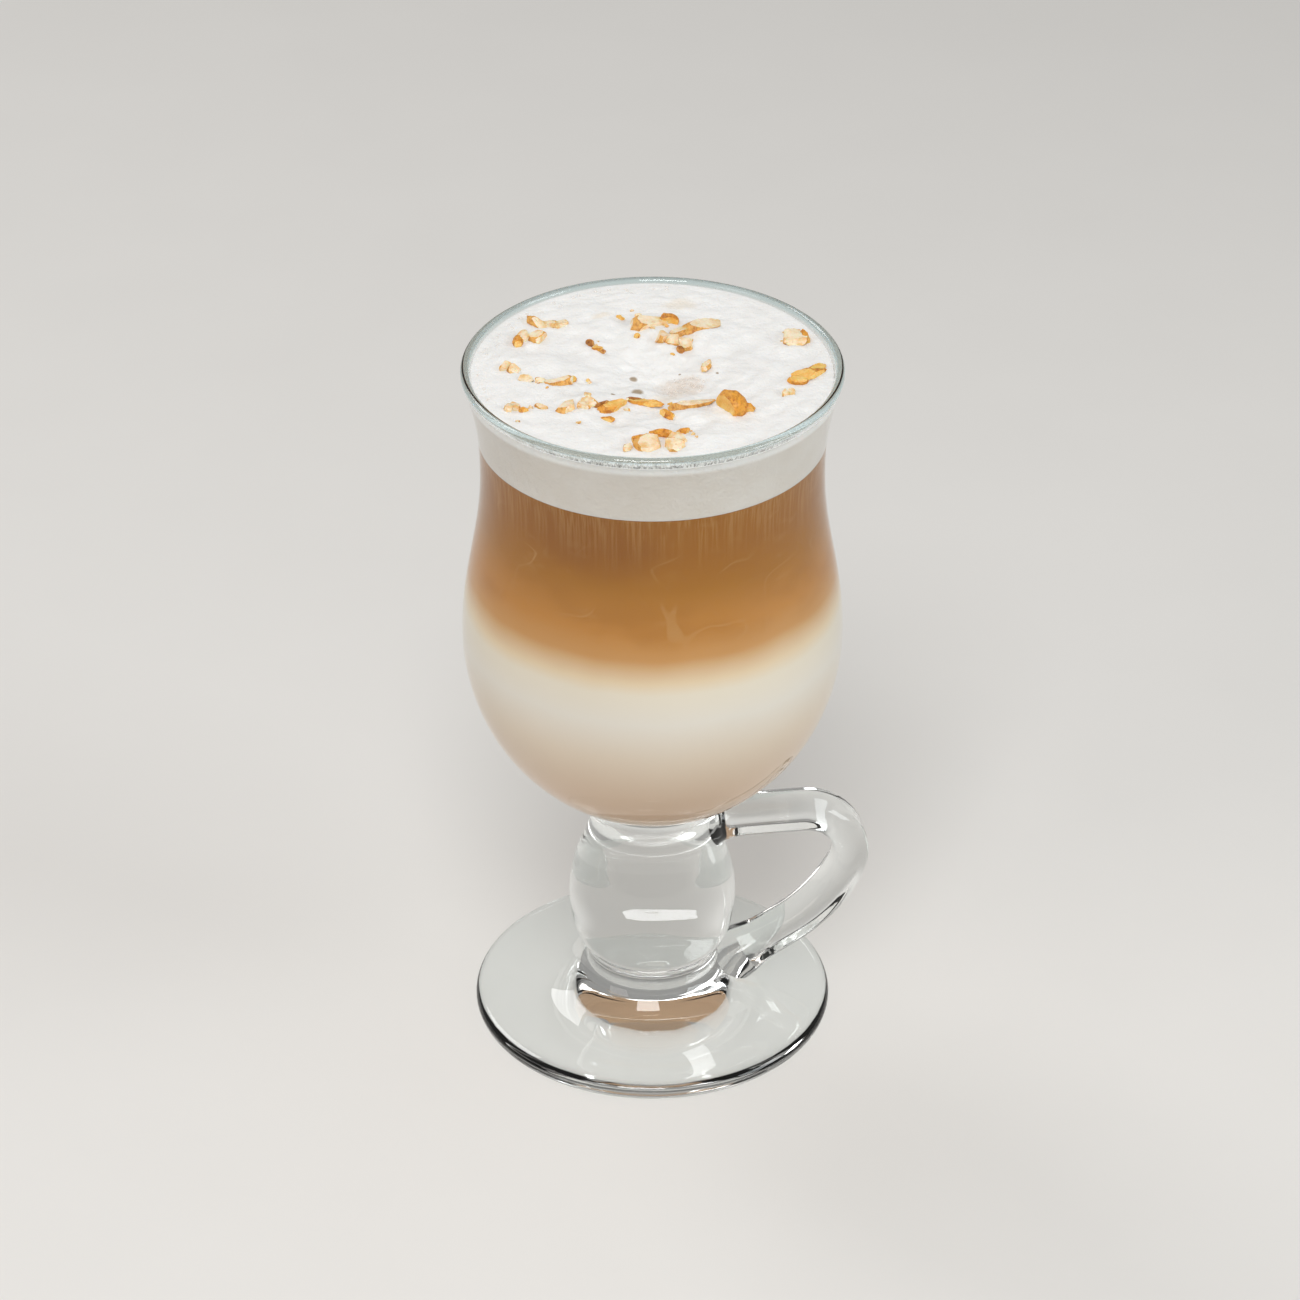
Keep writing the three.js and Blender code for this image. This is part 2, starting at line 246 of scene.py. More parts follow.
@dataclass
class Bowl:
    """The turned shape of the glass: foot, barrel stem, neck, bowl and lip."""

    height: float = 150 * MM
    lip: float = 0.9 * MM
    rim: float = 37 * MM
    waist: float = 33.6 * MM
    waist_height: float = 128 * MM
    belly: float = 37.85 * MM
    belly_height: float = 91 * MM
    depth: float = 41 * MM
    foot: float = 36.8 * MM
    foot_edge: float = 3.5 * MM
    cone_rise: float = 7.2 * MM
    cone_fade: float = 5.7 * MM
    stem: float = 17.1 * MM
    neck: float = 12.6 * MM
    joint: float = 13.7 * MM
    wall_at_rim: float = 1.8 * MM
    wall_at_belly: float = 2.2 * MM
    inner_bottom: float = 53.2 * MM

    def outer_radius(self, z: float) -> float:
        """Gives the bowl's outer radius at a height above the belly or just below it.

        Args:
            z: The height.

        Returns:
            The radius.
        """
        if z <= self.belly_height:
            return self.belly * math.sqrt(1 - ((self.belly_height - z) / self.depth) ** 2)
        if z <= self.waist_height:
            t = (z - self.belly_height) / (self.waist_height - self.belly_height)
            ease = ((1 + math.cos(math.pi * t)) / 2) ** 1.1
            return self.waist + (self.belly - self.waist) * ease
        t = (z - self.waist_height) / (self.height - self.lip - self.waist_height)
        return self.waist + (self.rim - self.waist) * t ** 2.2

    def inner_radius(self, z: float, grow: float = 0.0) -> float:
        """Gives the inner radius at a height.

        Args:
            z: The height.
            grow: How far the inside is widened into the wall.

        Returns:
            The radius.
        """
        if z <= self.belly_height:
            drop = (self.belly_height - z) / (self.belly_height - self.inner_bottom + grow)
            return (self.belly - self.wall_at_belly + grow) * math.sqrt(max(0.0, 1 - drop * drop))
        t = (z - self.belly_height) / (self.height - self.lip - self.belly_height)
        return self.outer_radius(z) - self.wall_at_belly - (self.wall_at_rim - self.wall_at_belly) * t + grow

    def foot_top(self, radius: float) -> float:
        """Gives the height of the foot's upper face at a radius."""
        return self.foot_edge + self.cone_rise * math.exp(-(radius - self.joint) / self.cone_fade)

    def round_bottom(self, reach: float, depth: float, start: float, steps: int) -> Outline:
        """Samples an elliptic bottom from a height up to the belly.

        Args:
            reach: The radius at the belly.
            depth: How far the ellipse's lowest point lies below the belly.
            start: The height of the first point.
            steps: The number of equal turns.

        Returns:
            The outline, from below upwards.
        """
        first = math.acos((self.belly_height - start) / depth)
        angles = (first + (math.pi / 2 - first) * i / steps for i in range(steps + 1))
        return [(reach * math.sin(a), self.belly_height - depth * math.cos(a)) for a in angles]

    def wall(self, radius: Callable[[float], float], low: float, high: float, steps: int) -> Outline:
        """Samples a radius function between two heights, with both ends.

        Args:
            radius: Gives the radius at a height.
            low: The first height.
            high: The last height.
            steps: The number of equal steps.

        Returns:
            The outline, from below upwards.
        """
        heights = (low + (high - low) * i / steps for i in range(steps + 1))
        return [(radius(z), z) for z in heights]

    def stem_outline(self) -> Outline:
        """Samples the foot's joint, the barrel and the neck.

        Returns:
            The outline, from below upwards.
        """
        return smooth_through([
            (self.joint, self.foot_top(self.joint)),
            (self.joint - 0.2 * MM, 14.4 * MM),
            (15.6 * MM, 18 * MM),
            (16.8 * MM, 23 * MM),
            (self.stem, 28.5 * MM),
            (16.2 * MM, 34 * MM),
            (14.6 * MM, 39 * MM),
            (13.1 * MM, 43.5 * MM),
            (self.neck, 47.5 * MM),
            (13.2 * MM, 50.6 * MM),
            (14.8 * MM, 53 * MM),
        ], 5)

    def outline(self) -> Outline:
        """Gives the whole outline, from the foot's centre over the lip to the inner bottom.

        Returns:
            The outline, in radius and height.
        """
        edge = self.foot_edge / 2
        foot_arc = [(self.foot - edge + edge * math.cos(a), edge + edge * math.sin(a))
                    for a in (math.radians(-90 + 165 * i / 10) for i in range(11))]
        radii = (self.foot - (self.foot - self.joint) * i / 17 for i in range(2, 17))
        cone = [(radius, self.foot_top(radius)) for radius in radii]
        lip_height = self.height - self.lip
        lip_arc = [(self.rim - self.lip + self.lip * math.cos(a), lip_height + self.lip * math.sin(a))
                   for a in (math.pi * i / 12 for i in range(13))]
        inner_reach = self.belly - self.wall_at_belly
        inner_depth = self.belly_height - self.inner_bottom
        inside = self.round_bottom(inner_reach, inner_depth, self.inner_bottom, 24)
        inside += self.wall(self.inner_radius, self.belly_height, lip_height, 28)[1:-1]
        flat = [(r * MM, 0.0) for r in (0, 8, 16, 24, 30)]
        return (flat + foot_arc + cone + self.stem_outline()
                + self.round_bottom(self.belly, self.depth, 54.2 * MM, 24)
                + self.wall(self.outer_radius, self.belly_height, lip_height, 28)[1:-1]
                + lip_arc + inside[::-1])


@dataclass
class Handle:
    """The looped strap, from the neck out, round a tight bend and in to the foot's cone."""

    width: float = 9.8 * MM
    thickness: float = 7.1 * MM
    corner: float = 3.1 * MM
    top: float = 43.9 * MM
    bend_start: float = 31 * MM
    bend_radius: float = 10.2 * MM
    bend_turn: float = 115
    sweep_radius: float = 33 * MM
    sweep_turn: float = 33
    bend_steps: int = 30
    sweep_steps: int = 14
    neck_flare: Sequence[tuple[float, float]] = (
        (9, 1.5), (12.4, 1.42), (13.2, 1.27), (14.2, 1.15), (15.8, 1.06), (18.5, 1),
    )
    foot_flare: Sequence[tuple[float, float]] = (
        (4, 1), (6.5, 1.04), (8.5, 1.12), (10, 1.2), (12, 1.26), (15.5, 1.3),
    )

    def build(self, name: str) -> bpy.types.Object:
        """Extrudes the rounded section straight, spins it round both bends and flares its ends.

        Args:
            name: The new object's name.

        Returns:
            The closed strap.
        """
        deselect_everything()
        start = self.neck_flare[0][0] * MM
        bpy.ops.mesh.primitive_plane_add(size=1, location=(start, 0, self.top), rotation=(0, math.pi / 2, 0))
        bpy.ops.object.transform_apply(location=True, rotation=True, scale=True)
        bpy.ops.object.mode_set(mode="EDIT")
        bpy.ops.mesh.select_all(action="SELECT")
        bpy.ops.transform.resize(value=(1, self.width, self.thickness), center_override=(start, 0, self.top))
        bpy.ops.mesh.bevel(offset=self.corner, segments=6, affect="VERTICES")
        place = Vector((start, 0, self.top))
        size = self.neck_flare[0][1]
        self._scale(size, place)
        for x, wanted in self.neck_flare[1:]:
            self._push(Vector((x * MM, 0, self.top)) - place)
            place = Vector((x * MM, 0, self.top))
            self._scale(wanted / size, place)
            size = wanted
        self._push(Vector((self.bend_start, 0, self.top)) - place)
        centre = Vector((self.bend_start, 0, self.top - self.bend_radius))
        self._turn(centre, self.bend_turn, self.bend_steps)
        place = centre + self.bend_radius * self._spoke(self.bend_turn)
        centre = place - self.sweep_radius * self._spoke(self.bend_turn)
        self._turn(centre, self.sweep_turn, self.sweep_steps)
        total = self.bend_turn + self.sweep_turn
        place = centre + self.sweep_radius * self._spoke(total)
        along = self._heading(total)
        size = 1.0
        done = 0.0
        for distance, wanted in self.foot_flare:
            self._push((distance * MM - done) * along)
            place = place + (distance * MM - done) * along
            done = distance * MM
            self._scale(wanted / size, place)
            size = wanted
        bpy.ops.mesh.select_all(action="SELECT")
        bpy.ops.mesh.normals_make_consistent(inside=False)
        bpy.ops.object.mode_set(mode="OBJECT")
        return named(name)

    @staticmethod
    def _spoke(turn: float) -> Vector:
        """Gives the direction from a bend's centre to the strap after a turn in degrees."""
        angle = math.radians(90 - turn)
        return Vector((math.cos(angle), 0, math.sin(angle)))

    @staticmethod
    def _heading(turn: float) -> Vector:
        """Gives the direction in which the strap runs after a turn in degrees."""
        angle = math.radians(-turn)
        return Vector((math.cos(angle), 0, math.sin(angle)))

    @staticmethod
    def _push(step: Vector) -> None:
        """Extrudes the selected section by a step."""
        bpy.ops.mesh.extrude_region_move(TRANSFORM_OT_translate={"value": step})

    @staticmethod
    def _scale(factor: float, centre: Vector) -> None:
        """Scales the selected section about its centre."""
        bpy.ops.transform.resize(value=(factor, factor, factor), center_override=centre)

    @staticmethod
    def _turn(centre: Vector, turn: float, steps: int) -> None:
        """Spins the selected section down round a centre in the XZ plane."""
        bpy.ops.mesh.spin(steps=steps, angle=math.radians(turn), center=centre, axis=(0, -1, 0))


def math_method(operation: str, swapped: bool = False) -> Callable[["Wire", Value], "Wire"]:
    """Makes an operator of Wire, which adds one Math node.

    Args:
        operation: What the node does.
        swapped: Whether the other value comes first.

    Returns:
        The operator's method.
    """

    def method(wire: "Wire", other: Value) -> "Wire":
        """Adds the node to the wire's shader."""
        first, second = (other, wire) if swapped else (wire, other)
        return wire.shader.node("ShaderNodeMath", {"operation": operation}, {0: first, 1: second})

    return method


class Wire:
    """A shader socket that takes part in Python expressions, which add Math nodes."""

    def __init__(self, shader: "Shader", socket: bpy.types.NodeSocket) -> None:
        """Wraps a socket of a shader."""
        self.shader = shader
        self.socket = socket

    __add__ = math_method("ADD")
    __radd__ = math_method("ADD", swapped=True)
    __sub__ = math_method("SUBTRACT")
    __mul__ = math_method("MULTIPLY")
    __truediv__ = math_method("DIVIDE")
    __pow__ = math_method("POWER")

    def clamped(self) -> "Wire":
        """Keeps the value between 0 and 1."""
        return self.shader.node("ShaderNodeMath", {"operation": "ADD", "use_clamp": True}, {0: self, 1: 0.0})


class Shader:
    """A material's node tree, built through one method for all nodes."""

    def __init__(self, name: str) -> None:
        """Makes a material with a Principled surface.

        Args:
            name: The material's name.
        """
        self.material = bpy.data.materials.new(name)
        self.material.use_nodes = True
        self.tree = self.material.node_tree
        self.surface = self.tree.nodes["Principled BSDF"]

    def node(self, kind: str, settings: dict[str, object], inputs: dict, output: Union[int, str] = 0) -> Wire:
        """Adds a node.

        Args:
            kind: The node's type.
            settings: Its properties, which are set first; a ramp's stops come as position and colour pairs.
            inputs: Values or wires by socket name or number.
            output: The name or number of the output wanted.

        Returns:
            The wanted output as a wire.
        """
        node = self.tree.nodes.new(kind)
        for key, value in settings.items():
            if key == "stops":
                self._set_stops(node.color_ramp, value)
            else:
                setattr(node, key, value)
        for key, value in inputs.items():
            self.feed(node.inputs[key], value)
        return Wire(self, node.outputs[output])

    def feed(self, socket: bpy.types.NodeSocket, value: object) -> None:
        """Links a wire to a socket, or sets the socket's own value.

        Args:
            socket: The socket to set.
            value: A wire, a colour or a number.
        """
        if isinstance(value, Wire):
            self.tree.links.new(value.socket, socket)
        elif isinstance(value, tuple) and len(value) == 3 and socket.type == "RGBA":
            socket.default_value = (*value, 1.0)
        else:
            socket.default_value = value

    @staticmethod
    def _set_stops(ramp: bpy.types.ColorRamp, stops: Sequence[tuple[float, Colour]]) -> None:
        """Sets a colour ramp's stops.

        Args:
            ramp: The colour ramp.
            stops: Each stop's position and colour.
        """
        while len(ramp.elements) < len(stops):
            ramp.elements.new(1.0)
        for element, (position, colour) in zip(ramp.elements, stops):
            element.position = position
            element.color = (*colour, 1.0)

    def place(self, scale: Triple = (1, 1, 1), shift: Triple = (0, 0, 0)) -> Wire:
        """Gives object coordinates, scaled and shifted by a Mapping node."""
        coordinates = self.node("ShaderNodeTexCoord", {}, {}, "Object")
        return self.node("ShaderNodeMapping", {}, {"Vector": coordinates, "Scale": scale, "Location": shift})

    def axis(self, which: str) -> Wire:
        """Gives one object coordinate, X, Y or Z, in metres."""
        coordinates = self.node("ShaderNodeTexCoord", {}, {}, "Object")
        return self.node("ShaderNodeSeparateXYZ", {}, {0: coordinates}, which)

    def noise(self, size: float, detail: float = 3.0, stretch: Triple = (1, 1, 1),
              roughness: float = 0.5, shift: Triple = (0, 0, 0)) -> Wire:
        """Adds noise.

        Args:
            size: The size of its spots, in metres.
            detail: Its number of finer layers.
            stretch: How much denser it is along each axis.
            roughness: The weight of the finer layers.
            shift: Where it starts, in metres.

        Returns:
            The noise, from 0 to 1.
        """
        vector = self.place(stretch, shift)
        inputs = {"Vector": vector, "Scale": 1 / size, "Detail": detail, "Roughness": roughness}
        return self.node("ShaderNodeTexNoise", {}, inputs, "Fac")

    def between(self, value: Wire, low: float, high: float) -> Wire:
        """Gives 0 below low and 1 above high, with a smooth rise between; low may be the larger."""
        settings = {"interpolation_type": "SMOOTHSTEP", "clamp": True}
        return self.node("ShaderNodeMapRange", settings, {"Value": value, "From Min": low, "From Max": high})

    def mix(self, factor: Value, first: Union[Colour, Wire], second: Union[Colour, Wire]) -> Wire:
        """Mixes two colours by a factor."""
        inputs = {0: factor, 6: first, 7: second}
        return self.node("ShaderNodeMix", {"data_type": "RGBA"}, inputs, 2)

    def distance(self, x: float, y: float, stretch_y: float = 1.0) -> Wire:
        """Gives the distance from a point on the foam, seen from above, in metres.

        Args:
            x: The point along X.
            y: The point along Y.
            stretch_y: How much faster the distance grows along Y.

        Returns:
            The distance.
        """
        dx = self.axis("X") - x
        dy = (self.axis("Y") - y) * stretch_y
        return (dx * dx + dy * dy) ** 0.5

    def bump(self, height: Wire, strength: float, depth: float) -> Wire:
        """Turns a height from 0 to 1 into a surface normal."""
        return self.node("ShaderNodeBump", {}, {"Height": height, "Strength": strength, "Distance": depth})

    def let_light_through(self, tint: Colour) -> None:
        """Lets shadow rays and scattered light pass, so that what stands behind is lit evenly.

        Args:
            tint: What is left of the light that passes.
        """
        shadow = self.node("ShaderNodeLightPath", {}, {}, "Is Shadow Ray")
        scattered = self.node("ShaderNodeLightPath", {}, {}, "Is Diffuse Ray")
        clear = self.node("ShaderNodeBsdfTransparent", {}, {"Color": tint}, "BSDF")
        solid = Wire(self, self.surface.outputs["BSDF"])
        passing = (shadow + scattered).clamped()
        mixed = self.node("ShaderNodeMixShader", {}, {0: passing, 1: solid, 2: clear}, "Shader")
        self.feed(self.tree.nodes["Material Output"].inputs["Surface"], mixed)

    def finish(self, **sockets: object) -> bpy.types.Material:
        """Sets the surface's sockets, with spaces written as underscores, and gives the material.

        Args:
            **sockets: Values or wires by socket name.

        Returns:
            The material.
        """
        for key, value in sockets.items():
            self.feed(self.surface.inputs[key.replace("_", " ")], value)
        return self.material


@dataclass(frozen=True)
class ClearGlass:
    """Clear polished glass with a faint green cast, soft waves and a few dull smudges."""

    tint: Colour = (0.97, 0.99, 0.985)
    smudge_tint: Colour = (0.95, 0.975, 0.965)
    edge_tint: Colour = (0.6, 0.8, 0.83)
    passed: Colour = (0.96, 0.97, 0.97)
    lip: float = 148.6 * MM

    def material(self) -> bpy.types.Material:
        """Builds the glass material.

        Returns:
            The material.
        """
        shader = Shader("clear_glass")
        smudge = shader.between(shader.noise(14 * MM, 4), 0.56, 0.72)
        waves = shader.noise(9 * MM, 1)
        lip = shader.between(shader.axis("Z"), self.lip, self.lip + 0.9 * MM)
        shader.let_light_through(self.passed)
        return shader.finish(
            Base_Color=shader.mix(lip, shader.mix(smudge, self.tint, self.smudge_tint), self.edge_tint),
            Roughness=0.004 + smudge * 0.012,
            Normal=shader.bump(waves, 0.12, 0.5 * MM),
            IOR=1.5,
            Transmission_Weight=1.0,
        )


@dataclass(frozen=True)
class Level:
    """The drink's colour at one height, in millimetres."""

    height: float
    colour: Colour


@dataclass(frozen=True)
class Layers:
    """The colours of milk and coffee by height, with the soft fade between them. Towards the bowl's bottom
    the milk is painted browner and darker, as a painted reflection of a warm table below and painted shade.
    """

    # Painted reflection and painted shade: the two lowest milk levels are browner and darker, standing in for
    # a warm table seen below and the shade low in the bowl.
    milk_bottom_painted_shade_and_reflection: Level = Level(66, (0.64, 0.43, 0.28))
    milk_low_painted_shade_and_reflection: Level = Level(82, (0.745, 0.62, 0.49))
    milk: Level = Level(91, (0.785, 0.725, 0.64))
    milk_top: Level = Level(97.4, (0.785, 0.70, 0.57))
    cream: Level = Level(100, (0.765, 0.6, 0.4))
    pale_coffee: Level = Level(104.8, (0.555, 0.275, 0.085))
    coffee_low: Level = Level(110, (0.49, 0.207, 0.036))
    coffee_mid: Level = Level(119, (0.35, 0.136, 0.007))
    coffee_top: Level = Level(127, (0.3, 0.107, 0.002))
    coffee_deep: Colour = (0.21, 0.064, 0.001)
    deep_place: tuple[float, float] = (-17 * MM, 129 * MM)
    streak: Colour = (0.56, 0.33, 0.13)
    base: float = 50
    top: float = 138
    coffee_fade: tuple[float, float] = (104 * MM, 110 * MM)
    streak_fade: tuple[float, float] = (121 * MM, 134 * MM)
    cloud_strength: float = 0.28
    wisp_strength: float = 0.13
    swirl_strength: float = 0.3
    deep_strength: float = 0.5
    streak_strength: float = 0.26

    def colour(self, shader: Shader) -> Wire:
        """Builds the colour at each height, with wisps in the coffee and streaks below the foam.

        Args:
            shader: The material that is built.

        Returns:
            The colour.
        """
        span = self.top - self.base
        wave = (shader.noise(18 * MM, 2) - 0.5) * (2.2 * MM)
        height = (shader.axis("Z") + wave - self.base * MM) / (span * MM)
        # The two lowest levels carry the painted reflection and painted shade at the milk's bottom.
        levels = (self.milk_bottom_painted_shade_and_reflection, self.milk_low_painted_shade_and_reflection, self.milk, self.milk_top, self.cream,
                  self.pale_coffee, self.coffee_low, self.coffee_mid, self.coffee_top)
        stops = [((level.height - self.base) / span, level.colour) for level in levels]
        colour = shader.node("ShaderNodeValToRGB", {"stops": stops}, {"Fac": height}, "Color")
        in_coffee = shader.between(shader.axis("Z"), *self.coffee_fade)
        cloud = shader.between(shader.noise(13 * MM, 3, (1, 1, 1.8)), 0.45, 0.72)
        colour = shader.mix(cloud * in_coffee * self.cloud_strength, colour, self.coffee_top.colour)
        wisps = shader.between(shader.noise(7 * MM, 6, (1, 1, 3), 0.62), 0.56, 0.72)
        colour = shader.mix(wisps * in_coffee * self.wisp_strength, colour, self.streak)
        level_line = shader.noise(15 * MM, 1, (1, 1, 1.3), shift=(0.03, 0.01, 0.06)) - 0.5
        swirls = shader.between(level_line * level_line, 0.00012, 0.00002)
        colour = shader.mix(swirls * in_coffee * cloud * self.swirl_strength, colour, self.streak)
        aside = (shader.axis("X") - self.deep_place[0]) / (21 * MM)
        above = (shader.axis("Z") - self.deep_place[1]) / (10 * MM)
        ragged = (shader.noise(9 * MM, 3) - 0.5) * 0.8
        deep = shader.between((aside * aside + above * above) ** 0.5 + ragged, 1.1, 0.2)
        in_front = shader.between(shader.axis("Y"), -14 * MM, -26 * MM)
        colour = shader.mix(deep * in_front * self.deep_strength, colour, self.coffee_deep)
        streaks = shader.between(shader.noise(0.46 * MM, 2, (1, 1, 0.02), 0.55), 0.42, 0.66)
        reach = (shader.noise(2.5 * MM, 2, (1, 1, 0.05)) - 0.5) * (9 * MM)
        near_foam = shader.between(shader.axis("Z") + reach, *self.streak_fade)
        return shader.mix(streaks * near_foam * self.streak_strength, colour, self.streak)

    def material(self, name: str) -> bpy.types.Material:
        """Builds the liquid's material, wet and smooth with faint clouding.

        Args:
            name: The material's name.

        Returns:
            The material.
        """
        shader = Shader(name)
        cloud = shader.noise(5 * MM, 4)
        return shader.finish(
            Base_Color=self.colour(shader),
            Roughness=0.42 + cloud * 0.12,
            Normal=shader.bump(cloud, 0.05, 0.3 * MM),
            Specular_IOR_Level=0.08,
        )


@dataclass(frozen=True)
class MilkFoam:
    """Fine milk foam: nearly white on top, with small bubbles, a wet patch in the dip and a few tan stains;
    its side below the top is painted darker and warmer as painted shade.
    """

    white: Colour = (0.87, 0.865, 0.85)
    shade: Colour = (0.80, 0.79, 0.77)
    # Painted shade: the colour of the foam's side, darker and warmer than its top because the side gets less
    # light.
    side: Colour = (0.67, 0.62, 0.56)
    wet: Colour = (0.76, 0.66, 0.57)
    stain: Colour = (0.80, 0.66, 0.47)
    bubble: Colour = (0.31, 0.215, 0.115)
    dip: tuple[float, float] = (5.2 * MM, -4 * MM)
    dimples: Sequence[Triple] = (
        (-3.7, 0.2, 1.0), (-3.7, -5.4, 1.5), (-8.5, -6.2, 0.6), (5.4, 0.8, 0.35), (12.4, -1.2, 0.4),
    )
    stains: Sequence[Triple] = ((8.9, 25.3, 4.5), (1.5, -8, 3.6), (8, 12.5, 4), (-7, 22.5, 2.4))

    def material(self) -> bpy.types.Material:
        """Builds the foam's material.

        Returns:
            The material.
        """
        shader = Shader("milk_foam")
        top = shader.between(shader.axis("Z"), 145.2 * MM, 146.4 * MM)
        patches = shader.between(shader.noise(7 * MM, 4), 0.35, 0.75)
        colour = shader.mix(patches * 0.5, self.white, self.shade)
        # Painted shade: below the top, the foam's side takes the darker, warmer side colour.
        colour = shader.mix(top, shader.mix(patches * 0.2, self.side, self.shade), colour)
        wet_edge = shader.distance(*self.dip, 1.2) + (shader.noise(2.2 * MM, 4) - 0.5) * (5 * MM)
        wet = shader.between(wet_edge, 6.2 * MM, 2.4 * MM) * top
        speckle = shader.between(shader.noise(0.6 * MM, 3), 0.4, 0.7)
        colour = shader.mix(wet * (0.5 + speckle * 0.4), colour, self.wet)
        for x, y, radius in self.stains:
            edge = shader.distance(x * MM, y * MM, 1.6) + (shader.noise(3 * MM, 3) - 0.5) * (4 * MM)
            stain = shader.between(edge, radius * MM, 0.3 * radius * MM)
            colour = shader.mix(stain * top * 0.35, colour, self.stain)
        for x, y, radius in self.dimples:
            spot = shader.between(shader.distance(x * MM, y * MM), radius * MM, 0.45 * radius * MM)
            colour = shader.mix(spot * top * 0.85, colour, self.bubble)
        bubble_cells = {"Vector": shader.place(), "Scale": 1 / (0.75 * MM)}
        cells = shader.node("ShaderNodeTexVoronoi", {}, bubble_cells, "Distance")
        froth = shader.noise(0.5 * MM, 4, roughness=0.7)
        ripples = shader.noise(3 * MM, 2, (1, 2.2, 1))
        relief = cells * 0.3 + froth * 0.5 + ripples * 0.8
        return shader.finish(
            Base_Color=colour,
            Roughness=0.62 + froth * 0.2 - wet * 0.4,
            Normal=shader.bump(relief, 0.8, 0.3 * MM),
            Subsurface_Weight=0.3,
            Subsurface_Scale=1.5 * MM,
            Subsurface_Radius=(1.0, 0.9, 0.8),
        )


@dataclass(frozen=True)
class FoamFilm:
    """The streaky film that the foam left on the glass just above its edge."""

    colour: Colour = (0.88, 0.87, 0.85)
    shade: Colour = (0.25, 0.24, 0.22)
    low: float = 147.2 * MM
    high: float = 149.5 * MM

    def material(self) -> bpy.types.Material:
        """Builds the film's material, which breaks up into streaks and drops towards its upper edge.

        Returns:
            The material.
        """
        shader = Shader("foam_film")
        streaks = shader.noise(0.45 * MM, 3, (1, 1, 0.12), 0.6)
        drops = shader.noise(1.8 * MM, 3)
        level = shader.between(shader.axis("Z"), self.high, self.low)
        front = shader.between(shader.axis("Y"), 24 * MM, 2 * MM)
        cover = shader.between(streaks * 0.75 + drops * 0.35 + level * 0.3, 0.62, 0.84)
        cover = cover * (0.25 + front * 0.75)
        tone = shader.mix(shader.between(streaks, 0.42, 0.58), self.shade, self.colour)
        return shader.finish(Base_Color=tone, Roughness=0.45 + drops * 0.2, Alpha=cover * 0.8)


class NutTone(Enum):
    """How dark a nut piece is roasted."""

    PALE = "pale"
    GOLDEN = "golden"
    ROASTED = "roasted"


PALE, GOLDEN, ROASTED = NutTone


@dataclass(frozen=True)
class NutFinish:
    """Chopped nut of one tone: the skin of its outer surface, and the paler flesh of its broken faces."""

    name: str
    flesh: Colour
    flesh_deep: Colour
    skin: Colour
    skin_dark: Colour

    def skin_material(self) -> bpy.types.Material:
        """Builds the skin, with darker strands along it and a soft gloss.

        Returns:
            The material.
        """
        shader = Shader(f"{self.name}_skin")
        strands = shader.noise(0.5 * MM, 4, (1, 0.35, 1), 0.6)
        broad = shader.noise(2.2 * MM, 3)
        dark = shader.between(strands * 0.6 + broad * 0.4, 0.42, 0.66)
        return shader.finish(
            Base_Color=shader.mix(dark, self.skin, self.skin_dark),
            Roughness=0.4 + strands * 0.2,
            Normal=shader.bump(strands, 0.5, 0.12 * MM),
            Subsurface_Weight=0.15,
            Subsurface_Scale=0.6 * MM,
        )

    def flesh_material(self) -> bpy.types.Material:
        """Builds the flesh, grainy and slightly translucent, with browned edges and a few fine flecks.

        Returns:
            The material.
        """
        shader = Shader(f"{self.name}_flesh")
        grain = shader.noise(0.45 * MM, 5, roughness=0.7)
        broad = shader.noise(1.9 * MM, 3, roughness=0.6)
        edges = shader.node("ShaderNodeNewGeometry", {}, {}, "Pointiness")
        colour = shader.mix(shader.between(grain * 0.5 + broad * 0.5, 0.4, 0.62), self.flesh, self.flesh_deep)
        browned = shader.between(edges + (broad - 0.5) * 0.12, 0.515, 0.59)
        colour = shader.mix(browned * 0.75, colour, self.skin)
        flecks = shader.between(shader.noise(0.8 * MM, 4, shift=(0.04, 0.02, 0.01)), 0.63, 0.72)
        return shader.finish(
            Base_Color=shader.mix(flecks * 0.35, colour, self.skin_dark),
            Roughness=0.45 + grain * 0.25,
            Normal=shader.bump(grain, 0.5, 0.15 * MM),
            Subsurface_Weight=0.3,
            Subsurface_Scale=0.8 * MM,
        )


NUT_FINISHES: dict[NutTone, NutFinish] = {
    PALE: NutFinish(
        "pale_nut", (0.91, 0.8, 0.61), (0.87, 0.68, 0.42), (0.78, 0.42, 0.1), (0.42, 0.15, 0.024),
    ),
    GOLDEN: NutFinish(
        "golden_nut", (0.9, 0.61, 0.21), (0.82, 0.45, 0.09), (0.8, 0.37, 0.045), (0.44, 0.14, 0.014),
    ),
    ROASTED: NutFinish(
        "roasted_nut", (0.74, 0.42, 0.14), (0.58, 0.26, 0.05), (0.5, 0.2, 0.028), (0.22, 0.066, 0.009),
    ),
}


@dataclass(frozen=True)
class NutPiece:
    """One chopped piece: where it lies on the foam, its size and its turn, in millimetres and degrees.

    It keeps the nut's outer surface on its skin side, is cut off round its other sides, and its top is broken
    flat unless it shows the outer surface there too.
    """

    x: float
    y: float
    length: float
    width: float
    thickness: float
    turn: float
    tone: NutTone = PALE
    lumps: int = 1
    skin_side: float = 100
    cuts: int = 4
    broken_top: bool = True


@dataclass
class Glass:
    """The whole glass, foot to lip, with its handle joined on."""

    bowl: Bowl
    handle: Handle = field(default_factory=Handle)
    finish: ClearGlass = ClearGlass()

    def build(self) -> bpy.types.Object:
        """Turns the body, sweeps the handle, joins the two and dresses them.

        Returns:
            The dressed piece.
        """
        glass = turned("glass_body", self.bowl.outline())
        strap = self.handle.build("handle_strap")
        apply_modifier(glass, "BOOLEAN", operation="UNION", solver="EXACT", object=strap)
        bpy.data.objects.remove(strap)
        dress(glass, self.finish.material(), 50)
        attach(glass, BODY)
        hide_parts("glass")
        return glass


